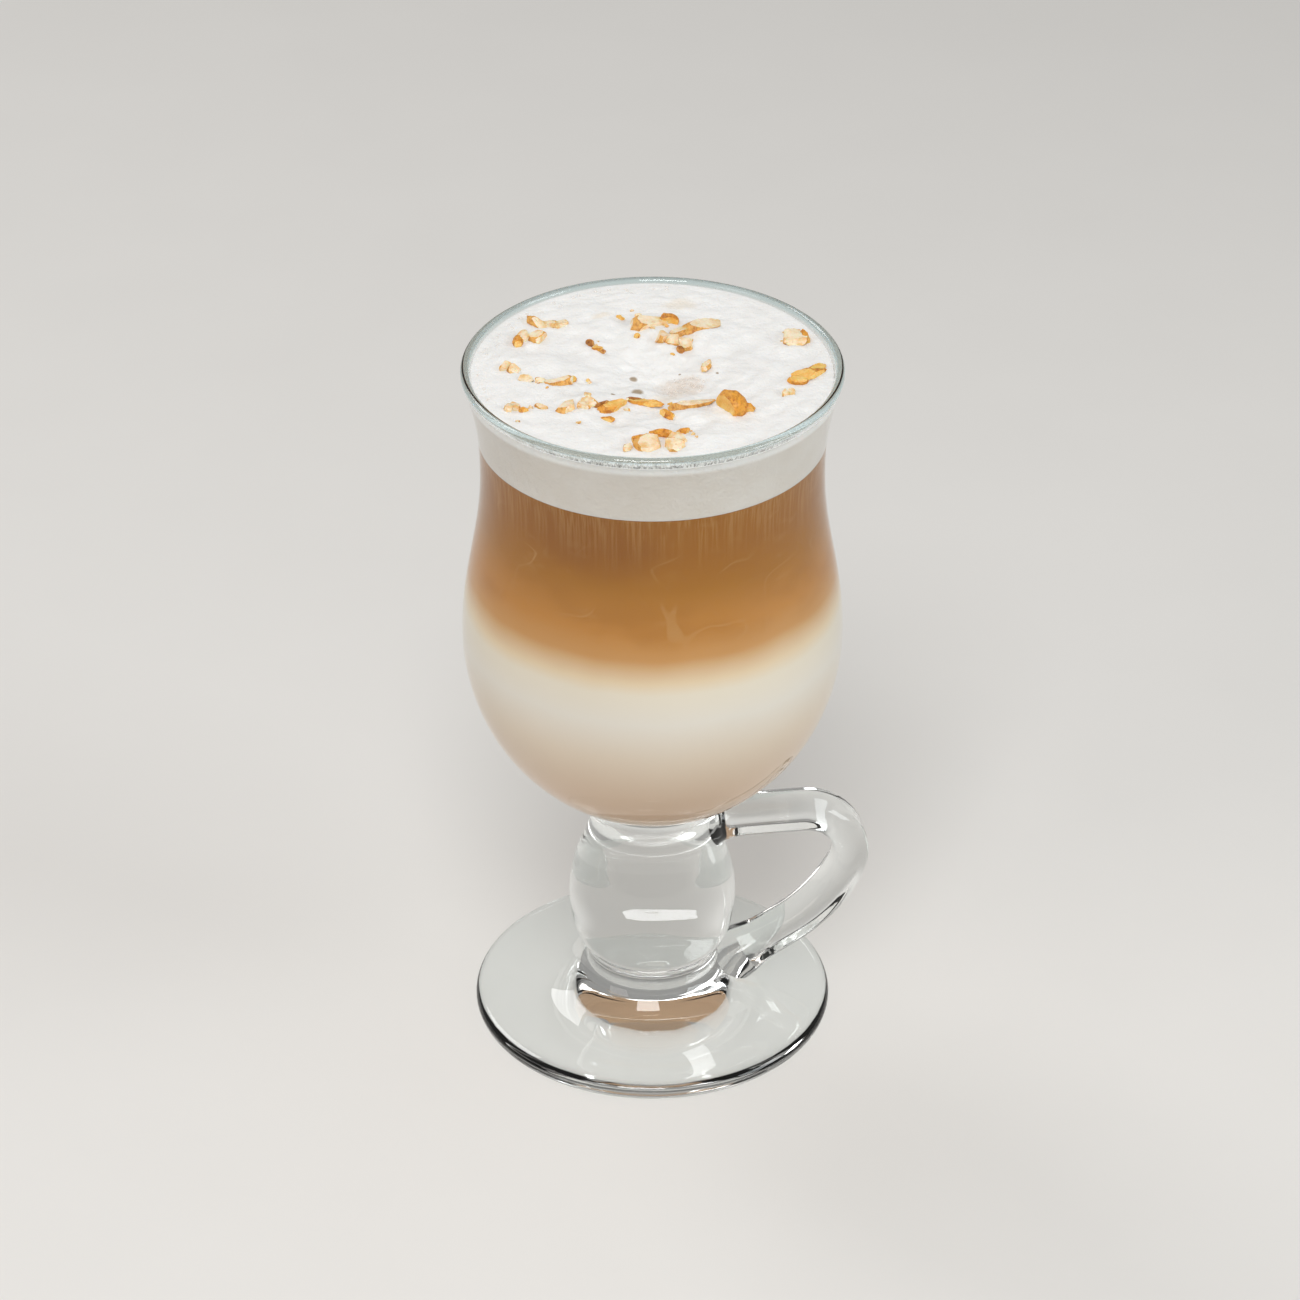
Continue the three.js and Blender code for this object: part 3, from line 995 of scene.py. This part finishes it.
@dataclass
class Drink:
    """The milk and the coffee, each reaching just into the wall so that no air gap shows."""

    bowl: Bowl
    into_wall: float = 0.12 * MM
    milk_top: float = 102 * MM
    coffee_top: float = 134.45 * MM
    layers: Layers = Layers()

    def build(self) -> list[bpy.types.Object]:
        """Turns both layers and dresses them with one colour run, so that they fade into each other.

        Returns:
            The milk and the coffee.
        """
        bowl = self.bowl
        reach = bowl.belly - bowl.wall_at_belly + self.into_wall
        depth = bowl.belly_height - bowl.inner_bottom + self.into_wall
        milk_wall = bowl.wall(self._radius, bowl.belly_height, self.milk_top, 6)[1:]
        milk_outline = bowl.round_bottom(reach, depth, bowl.belly_height - depth, 24) + milk_wall
        milk = turned("milk_layer", milk_outline + [(0.0, self.milk_top)])
        coffee_wall = bowl.wall(self._radius, self.milk_top, self.coffee_top, 20)
        coffee = turned("coffee_layer", [(0.0, self.milk_top)] + coffee_wall + [(0.0, self.coffee_top)])
        for piece, node in ((milk, "milk"), (coffee, "coffee")):
            dress(piece, self.layers.material(f"{node}_liquid"), 40)
            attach(piece, BODY)
            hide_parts(node)
        return [milk, coffee]

    def _radius(self, z: float) -> float:
        """Gives the drink's radius at a height."""
        return self.bowl.inner_radius(z, self.into_wall)


@dataclass
class Foam:
    """The foam cap: a turned block whose top is tilted, domed, dented and rippled."""

    bowl: Bowl
    into_wall: float = 0.12 * MM
    bottom: float = 134.4 * MM
    level: float = 148.2 * MM
    tilt: float = 1.45
    dome: float = 0.3 * MM
    dip: tuple[float, float, float, float] = (1 * MM, -4 * MM, 2.0 * MM, 19 * MM)
    lumps: int = 70
    top_depth: float = 4 * MM
    rings: int = 64
    seed: int = 7
    finish: MilkFoam = MilkFoam()

    def build(self) -> bpy.types.Object:
        """Turns the block, shapes its top and dresses it.

        Returns:
            The dressed piece.
        """
        bowl = self.bowl
        wall = bowl.wall(lambda z: bowl.inner_radius(z, self.into_wall), self.bottom, self.level, 16)
        edge = wall[-1][0]
        top = [(edge * (1 - i / self.rings), self.level) for i in range(1, self.rings + 1)]
        foam = turned("foam_cap", [(0.0, self.bottom)] + wall + top)
        self._tilt_top(foam)
        self._push(foam, 0, 0, self.dome, bowl.rim, "SPHERE")
        x, y, depth, reach = self.dip
        self._push(foam, x, y, -depth, reach, "SMOOTH")
        self._push_lumps(foam)
        self._ripple(foam)
        dress(foam, self.finish.material(), 60)
        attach(foam, BODY)
        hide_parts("foam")
        return foam

    def _tilt_top(self, foam: bpy.types.Object) -> None:
        """Tilts the top about X, so that the foam stands higher at the back.

        Args:
            foam: The foam.
        """
        select_vertices(foam, lambda place: place.z > self.level - 0.01 * MM)
        turn = -math.radians(self.tilt)
        bpy.ops.transform.rotate(value=turn, orient_axis="X", center_override=(0, 0, self.level))
        bpy.ops.object.mode_set(mode="OBJECT")

    def _push(
        self, foam: bpy.types.Object, x: float, y: float, rise: float, reach: float, falloff: str,
    ) -> None:
        """Raises or lowers the top round a point, with the surface round it following.

        Args:
            foam: The foam.
            x: Where along X.
            y: Where along Y.
            rise: How far up, or down if negative.
            reach: How far the effect spreads.
            falloff: The name of the falloff's curve.
        """
        nearest = min(
            (v for v in foam.data.vertices if v.co.z > self.level - self.top_depth),
            key=lambda v: (v.co.x - x) ** 2 + (v.co.y - y) ** 2,
        ).co.copy()
        select_vertices(foam, lambda place: (place - nearest).length < 0.01 * MM)
        bpy.ops.transform.translate(
            value=(0, 0, rise), use_proportional_edit=True, proportional_edit_falloff=falloff,
            proportional_size=reach, use_proportional_connected=False,
        )
        bpy.ops.object.mode_set(mode="OBJECT")

    def _push_lumps(self, foam: bpy.types.Object) -> None:
        """Adds low lumps and hollows at seeded places, away from the wall.

        Args:
            foam: The foam.
        """
        draw = random.Random(self.seed)
        for _ in range(self.lumps):
            radius = (self.bowl.rim - 8 * MM) * math.sqrt(draw.random())
            angle = draw.uniform(0, math.tau)
            rise = draw.uniform(-0.6, 0.6) * MM
            reach = draw.uniform(3, 7) * MM
            self._push(foam, radius * math.cos(angle), radius * math.sin(angle), rise, reach, "SMOOTH")

    def _ripple(self, foam: bpy.types.Object) -> None:
        """Roughens the top with fine froth, by a displacement that leaves the wall alone.

        Args:
            foam: The foam.
        """
        group = foam.vertex_groups.new(name="top")
        limit = self.bowl.rim - 3.2 * MM
        lowest = self.level - self.top_depth
        inner = [v.index for v in foam.data.vertices if v.co.z > lowest and v.co.xy.length < limit]
        group.add(inner, 1.0, "REPLACE")
        crumple(foam, 2.4 * MM, 4, 1.1 * MM, direction="Z", vertex_group="top")


@dataclass
class Film:
    """The thin film on the inner wall between the foam's edge and the lip."""

    bowl: Bowl
    low: float = 146.9 * MM
    high: float = 149.2 * MM
    thickness: float = 0.05 * MM
    finish: FoamFilm = FoamFilm()

    def build(self) -> bpy.types.Object:
        """Turns the film's narrow ring and dresses it.

        Returns:
            The dressed piece.
        """
        outer = self.bowl.wall(lambda z: self.bowl.inner_radius(z) - 0.02 * MM, self.low, self.high, 6)
        inner = [(radius - self.thickness, z) for radius, z in reversed(outer)]
        film = turned("foam_film", outer + inner, closed=True)
        dress(film, self.finish.material(), 40)
        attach(film, BODY)
        return film


@dataclass
class Bubbles:
    """Small bubbles that stand in the wet patch of the foam's dip and along its edge."""

    foam: bpy.types.Object
    patch: tuple[float, float, float, float] = (5.4 * MM, -3.6 * MM, 4.2 * MM, 3.6 * MM)
    patch_count: int = 30
    edge_radius: float = 33.6 * MM
    edge_count: int = 30
    small: float = 0.2 * MM
    large: float = 0.5 * MM
    seed: int = 5

    def build(self) -> bpy.types.Object:
        """Models each bubble as a half-sunk ball, joins them and dresses them.

        Returns:
            The dressed piece.
        """
        draw = random.Random(self.seed)
        x, y, reach_x, reach_y = self.patch
        places = []
        for _ in range(self.patch_count):
            away, angle = math.sqrt(draw.random()), draw.uniform(0, math.tau)
            places.append((x + reach_x * away * math.cos(angle), y + reach_y * away * math.sin(angle)))
        for _ in range(self.edge_count):
            angle = math.radians(draw.gauss(125, 28))
            radius = self.edge_radius - abs(draw.gauss(0, 0.9)) * MM
            places.append((radius * math.cos(angle), radius * math.sin(angle)))
        made = [self._ball(place, draw.uniform(self.small, self.large)) for place in places]
        bubbles = joined(made, "foam_bubbles")
        bpy.ops.object.shade_smooth()
        bubbles.data.materials.append(self._material())
        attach(bubbles, BODY)
        return bubbles

    def _ball(self, place: tuple[float, float], radius: float) -> bpy.types.Object:
        """Models one bubble, with its middle on the foam's surface.

        Args:
            place: Where it stands, along X and Y.
            radius: Its radius.

        Returns:
            The bubble.
        """
        deselect_everything()
        height = drop_onto(self.foam, *place)
        bpy.ops.mesh.primitive_ico_sphere_add(subdivisions=2, radius=radius, location=(*place, height))
        bpy.ops.transform.resize(value=(1, 1, 0.6))
        return named("bubble")

    @staticmethod
    def _material() -> bpy.types.Material:
        """Builds the bubbles' thin wet skin, clearer in the middle of some than of others.

        Returns:
            The material.
        """
        shader = Shader("foam_bubble")
        varied = shader.noise(1.1 * MM, 2)
        return shader.finish(
            Base_Color=shader.mix(varied, (0.95, 0.92, 0.88), (0.86, 0.76, 0.66)),
            Roughness=0.05 + varied * 0.08,
            Alpha=0.12 + varied * 0.22,
        )


@dataclass
class NutTopping:
    """The chopped nuts that lie on the foam, modelled shard by shard and joined into one piece."""

    foam: bpy.types.Object
    pieces: Sequence[NutPiece] = (
        NutPiece(13, -15.4, 6.2, 5.2, 5, 120, GOLDEN, 1, 60, 1, False),
        NutPiece(15.6, -16.6, 3, 2.6, 2.2, 150, GOLDEN, 1, 30, 2, False),
        NutPiece(-4.2, -26.8, 5.4, 5.4, 2.6, 20, skin_side=200),
        NutPiece(-0.6, -26.4, 5.2, 5.2, 2.4, 60, lumps=2, skin_side=80),
        NutPiece(-6.2, -24.4, 4, 1.5, 1.6, 30, GOLDEN, 1, 90, 2, False),
        NutPiece(-1.6, -23.7, 4.6, 1.3, 1.9, -14, GOLDEN, 1, 90, 1, False),
        NutPiece(2.6, -23.5, 2.6, 1.1, 1.5, 12, GOLDEN, 1, 90, 2, False),
        NutPiece(1.8, 17.6, 8.4, 5, 2.4, 12, skin_side=20, cuts=3),
        NutPiece(5.7, 18.8, 3, 4.6, 2.2, 40, GOLDEN, 1, 30, 2, False),
        NutPiece(11.6, 15.8, 10.4, 3.8, 2, 22, skin_side=250, cuts=2),
        NutPiece(7.2, 13.6, 6.4, 2.2, 1.8, 34, skin_side=120),
        NutPiece(4.8, 11.6, 5.6, 3.8, 2, -10, lumps=2, skin_side=250),
        NutPiece(7.8, 9.8, 3.2, 4.4, 2.2, -20, skin_side=270),
        NutPiece(6.6, 8.2, 1.8, 1.6, 1.6, 20, ROASTED, 1, 90, 2, False),
        NutPiece(29, -5.2, 8.6, 4.8, 1.8, 32, GOLDEN, 1, 130, 1),
        NutPiece(27, -7, 4, 3.6, 1.7, -30, GOLDEN, 1, 250, 2),
        NutPiece(31.4, -3.2, 4.4, 2.2, 1.5, 40, GOLDEN, 1, 130, 1),
        NutPiece(28.7, 8.6, 5.6, 6.4, 3, 4, skin_side=0, cuts=3),
        NutPiece(31, 9, 1.6, 5, 2.6, 8, GOLDEN, 1, 0, 2, False),
        NutPiece(-21.6, 15.7, 5.8, 4, 2.2, 28, lumps=2, skin_side=200),
        NutPiece(-24.3, 14.6, 1.8, 4, 1.8, -14, GOLDEN, 1, 180, 2, False),
        NutPiece(-19.6, 21.3, 6.8, 2.2, 1.8, -52, skin_side=220),
        NutPiece(-16.4, 20.5, 5, 3.4, 1.6, 10, lumps=2, skin_side=30),
        NutPiece(-18, -11.2, 4.8, 4.2, 1.9, 20, skin_side=230),
        NutPiece(-14.6, -10.2, 4, 3.4, 1.9, 40, lumps=2, skin_side=320),
        NutPiece(-9.4, -11.6, 6.6, 2.8, 1.8, 22, GOLDEN, 1, 110, 1),
        NutPiece(-11.2, -11.1, 3, 1, 1.3, 24, ROASTED, 1, 90, 1, False),
        NutPiece(-2.9, -10, 6.6, 2, 1.3, -26, GOLDEN, 1, 80, 1),
        NutPiece(-4.6, -8.7, 3.4, 0.8, 1.1, -24, ROASTED, 1, 90, 0, False),
        NutPiece(5.8, -12.2, 8.4, 2.9, 1.6, 12, skin_side=260, cuts=1),
        NutPiece(0.6, -15.4, 3.8, 1.8, 1.4, -48, GOLDEN, 1, 60, 2, False),
        NutPiece(-26.9, 4.7, 4.2, 3, 1.8, -20, lumps=2, skin_side=200),
        NutPiece(-24.6, 0.4, 3.6, 2, 1.4, -24, skin_side=200),
        NutPiece(-21.8, -0.9, 3.2, 1.8, 1.3, -6, skin_side=300),
        NutPiece(-18, -1.5, 5.6, 2.8, 1.5, 4, skin_side=240, cuts=2),
        NutPiece(-15.8, -1, 2, 1.6, 1.3, 40, GOLDEN, 1, 0, 2),
        NutPiece(-28.2, -9.3, 3.2, 2.8, 1.6, 0, lumps=2, skin_side=200),
        NutPiece(-22.6, -10.2, 3.2, 1.8, 1.4, -40, skin_side=200),
        NutPiece(-10.4, 11.9, 2.6, 1.4, 1.6, -50, ROASTED, 1, 200, 2, False),
        NutPiece(-9.2, 10.2, 2.2, 1.3, 1.4, -30, GOLDEN, 1, 200, 2),
        NutPiece(-8.4, 9.4, 1.2, 0.9, 1, 10, ROASTED, 1, 90, 2, False),
        NutPiece(10.7, 1.6, 3.8, 1.6, 1.4, 58, skin_side=60),
        NutPiece(24.5, -11.6, 2.8, 2.2, 1.5, 40, lumps=2, skin_side=60),
        NutPiece(-1.1, 13.6, 1.8, 1.2, 1, 0, GOLDEN),
        NutPiece(-3.4, 21.7, 2, 1.2, 1, -30, GOLDEN),
        NutPiece(0.4, 22.4, 1.4, 1, 0.9, 0),
        NutPiece(-26.3, -11.3, 1.5, 1.3, 1.1, 0, GOLDEN, 1, 90, 1, False),
        NutPiece(-13.6, -7.6, 1.8, 1.1, 0.9, 0),
        NutPiece(-10.8, -15.3, 2.6, 1.4, 1, 0, GOLDEN, 1, 90, 1, False),
        NutPiece(-8.4, -27.4, 2.4, 1.8, 1.2, 30),
        NutPiece(-12.5, -1.8, 1.4, 0.9, 0.8, 0),
    )
    crumbs: int = 30
    crumb_spread: float = 4.6
    seed: int = 20
    unevenness: float = 0.09
    plumper: float = 1.12
    sink: float = 0.12
    facets: float = 0.6

    def build(self) -> bpy.types.Object:
        """Models the pieces one by one, joins them, roughens them and sets them on the foam's body.

        Returns:
            The dressed piece.
        """
        draw = random.Random(self.seed)
        finishes = {
            tone: (finish.skin_material(), finish.flesh_material()) for tone, finish in NUT_FINISHES.items()
        }
        scattered = [self._crumb(draw) for _ in range(self.crumbs)]
        lumps = [lump for piece in (*self.pieces, *scattered) for lump in self._lumps(piece, finishes, draw)]
        nuts = joined(lumps, "nut_pieces")
        self._roughen(nuts)
        make_active(nuts)
        bpy.ops.object.shade_smooth_by_angle(angle=math.radians(22))
        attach(nuts, BODY)
        return nuts

    def _crumb(self, draw: random.Random) -> NutPiece:
        """Draws a small crumb close to one of the larger pieces.

        Args:
            draw: The seeded draw for its place and size.

        Returns:
            The crumb.
        """
        near = draw.choice(self.pieces)
        x = near.x + draw.gauss(0, 1) * self.crumb_spread / 2
        y = near.y + draw.gauss(0, 1) * self.crumb_spread / 2
        length = draw.uniform(0.5, 1.2)
        tone = draw.choice((PALE, PALE, GOLDEN))
        return NutPiece(x, y, length, length * 0.7, length * 0.6, draw.uniform(0, 180), tone, 1, 0, 2)

    def _lumps(
        self, piece: NutPiece, finishes: dict[NutTone, tuple[bpy.types.Material, ...]], draw: random.Random,
    ) -> list[bpy.types.Object]:
        """Models one piece as one or two shards that run into each other.

        Args:
            piece: The piece's place, size and tone.
            finishes: The skin and the flesh of each tone.
            draw: The seeded draw for the shards' places and cuts.

        Returns:
            The shards.
        """
        x, y = piece.x * MM, piece.y * MM
        turn = math.radians(piece.turn)
        along = Vector((math.cos(turn), math.sin(turn), 0))
        across = Vector((-math.sin(turn), math.cos(turn), 0))
        middle = Vector((x, y, drop_onto(self.foam, x, y, self.sink * piece.thickness * MM)))
        half = Vector((piece.length, piece.width, piece.thickness)) * (0.5 * self.plumper * MM)
        lumps = []
        for i in range(piece.lumps):
            shift = 2 * i / (piece.lumps - 1) - 1 if piece.lumps > 1 else 0
            share = 1.05 if piece.lumps == 1 else 0.66
            centre = middle + along * (shift * half.x * (1 - share))
            centre = centre + across * (shift * draw.uniform(-0.4, 0.4) * half.y)
            centre = centre + Vector((0, 0, draw.uniform(-0.1, 0.1) * half.z))
            broad = half.y * draw.uniform(0.85, 1.05)
            size = Vector((half.x * share, broad, half.z * draw.uniform(0.85, 1.1)))
            spin = 0.0 if piece.lumps == 1 else draw.uniform(-0.4, 0.4)
            lumps.append(self._shard(piece, finishes[piece.tone], (centre, size, turn + spin), draw))
        return lumps

    def _shard(
        self, piece: NutPiece, finish: tuple[bpy.types.Material, ...], shape: tuple[Vector, Vector, float],
        draw: random.Random,
    ) -> bpy.types.Object:
        """Models one shard: a flattened ball that is cut off round its side and broken across its top.

        Args:
            piece: The piece that it belongs to.
            finish: Its skin and its flesh.
            shape: Its centre, its half length, half width and half height, and its turn about Z in radians.
            draw: The seeded draw for the cuts.

        Returns:
            The shard.
        """
        centre, size, turn = shape
        up = Vector((0, 0, 1))
        deselect_everything()
        bpy.ops.mesh.primitive_ico_sphere_add(subdivisions=2, radius=1)
        bpy.ops.object.mode_set(mode="EDIT")
        bpy.ops.transform.vertex_random(offset=self.unevenness, seed=draw.randrange(1000))
        bpy.ops.object.mode_set(mode="OBJECT")
        bpy.ops.transform.translate(value=centre)
        bpy.ops.transform.resize(value=size)
        bpy.ops.transform.rotate(value=-turn, orient_axis="Z", center_override=centre)
        bpy.ops.transform.rotate(value=draw.uniform(-0.2, 0.2), orient_axis="X", center_override=centre)
        shard = named("shard")
        for material in finish:
            shard.data.materials.append(material)
        shard.active_material_index = 1
        bpy.ops.object.mode_set(mode="EDIT")
        for i in range(piece.cuts):
            step = i + 1 + draw.uniform(-0.3, 0.3)
            angle = math.radians(piece.skin_side) + math.tau * step / (piece.cuts + 1)
            flat = Vector((math.cos(angle), math.sin(angle), 0))
            reach = math.hypot(math.cos(angle - turn) * size.x, math.sin(angle - turn) * size.y)
            place = centre + flat * reach * draw.uniform(0.5, 0.8)
            self._break_off(place, flat + up * draw.uniform(-0.1, 0.6))
        if piece.broken_top:
            lean = Vector((draw.uniform(-0.25, 0.25), draw.uniform(-0.35, 0.1), 1))
            self._break_off(centre + up * size.z * draw.uniform(0.4, 0.7), lean)
        bpy.ops.mesh.select_all(action="SELECT")
        bpy.ops.mesh.poke()
        bpy.ops.mesh.subdivide(number_cuts=1)
        bpy.ops.object.mode_set(mode="OBJECT")
        return shard

    @staticmethod
    def _break_off(place: Vector, normal: Vector) -> None:
        """Cuts off what lies beyond a plane, and gives the cut face the flesh.

        Args:
            place: A point of the plane.
            normal: The side that goes.
        """
        bpy.ops.mesh.select_all(action="SELECT")
        bpy.ops.mesh.bisect(
            plane_co=place, plane_no=normal.normalized(), use_fill=True, clear_outer=True,
            threshold=0.001 * MM,
        )
        bpy.ops.object.material_slot_assign()

    def _roughen(self, nuts: bpy.types.Object) -> None:
        """Crumbles the surface with a coarse and a fine displacement, then evens out the triangles.

        Args:
            nuts: The joined pieces.
        """
        for size, strength in ((1.5 * MM, 0.34 * MM), (0.5 * MM, 0.34 * MM)):
            crumple(nuts, size, 2, strength)
        apply_modifier(nuts, "DECIMATE", ratio=self.facets)


@dataclass
class Studio:
    """The pale floor, the soft lights and the camera at the photograph's angle."""

    azimuth: float = -8
    pitch: float = 32.283
    camera_place: tuple[float, float, float] = (-0.1085, -0.7685, 0.5755)
    sensor: float = 36
    lens: float = 127.4
    floor_size: float = 6

    def build(self) -> None:
        """Sets up camera, floor, lights and the world."""
        self._camera()
        self._floor()
        self._lights()
        self._world()

    def _camera(self) -> None:
        """Adds the camera, square to the photograph's frame."""
        deselect_everything()
        rotation = (math.radians(90 - self.pitch), 0, math.radians(self.azimuth))
        bpy.ops.object.camera_add(location=self.camera_place, rotation=rotation)
        camera = bpy.context.object
        camera.data.sensor_fit = "HORIZONTAL"
        camera.data.sensor_width = self.sensor
        camera.data.lens = self.lens
        camera.data.clip_start = 0.01
        bpy.context.scene.camera = camera

    def _floor(self) -> None:
        """Adds the plain pale floor just under the foot."""
        deselect_everything()
        bpy.ops.mesh.primitive_plane_add(size=self.floor_size, location=(0, 0, -0.05 * MM))
        floor = named("studio_floor")
        shader = Shader("pale_floor")
        speckle = shader.noise(40 * MM, 3)
        colour = shader.mix(speckle, (0.78, 0.765, 0.74), (0.8, 0.785, 0.76))
        floor.data.materials.append(shader.finish(Base_Color=colour, Roughness=0.6 + speckle * 0.1))

    def _lights(self) -> None:
        """Adds a large soft key light above and two weaker fills."""
        target = Vector((0, 0, 0.09))
        for place, size, power, colour in (
            ((-0.2, -0.7, 1.15), 0.5, 8.3, (1.0, 1.0, 1.0)),
            ((-0.4, 0.6, 0.75), 0.35, 1.7, (1.0, 1.0, 1.0)),
            ((1.0, -0.5, 0.6), 0.6, 5.4, (0.94, 0.98, 1.0)),
            ((-1.0, -0.5, 0.6), 0.6, 2.2, (1.0, 0.94, 0.9)),
        ):
            deselect_everything()
            rotation = (target - Vector(place)).to_track_quat("-Z", "Y").to_euler()
            bpy.ops.object.light_add(type="AREA", location=place, rotation=rotation)
            lamp = bpy.context.object.data
            lamp.shape = "SQUARE"
            lamp.size = size
            lamp.energy = power
            lamp.color = colour

    def _world(self) -> None:
        """Sets an even, pale surrounding light."""
        world = bpy.data.worlds.new("studio")
        world.use_nodes = True
        background = world.node_tree.nodes["Background"]
        background.inputs["Color"].default_value = (1.0, 0.98, 0.95, 1)
        background.inputs["Strength"].default_value = 0.3
        bpy.context.scene.world = world
        bpy.context.scene.view_settings.view_transform = "Standard"


def main() -> None:
    """Sets up the studio, builds the glass, the drink, the foam and the nuts, and reports each piece."""
    logging.basicConfig(level=logging.INFO)
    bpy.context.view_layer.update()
    deselect_everything()
    Studio().build()
    bowl = Bowl()
    pieces = [Glass(bowl).build(), *Drink(bowl).build()]
    foam = Foam(bowl).build()
    pieces += [foam, Film(bowl).build(), Bubbles(foam).build(), NutTopping(foam).build()]
    for piece in pieces:
        log.info("%s: %d faces", piece.name, len(piece.data.polygons))


if __name__ == "__main__":
    main()
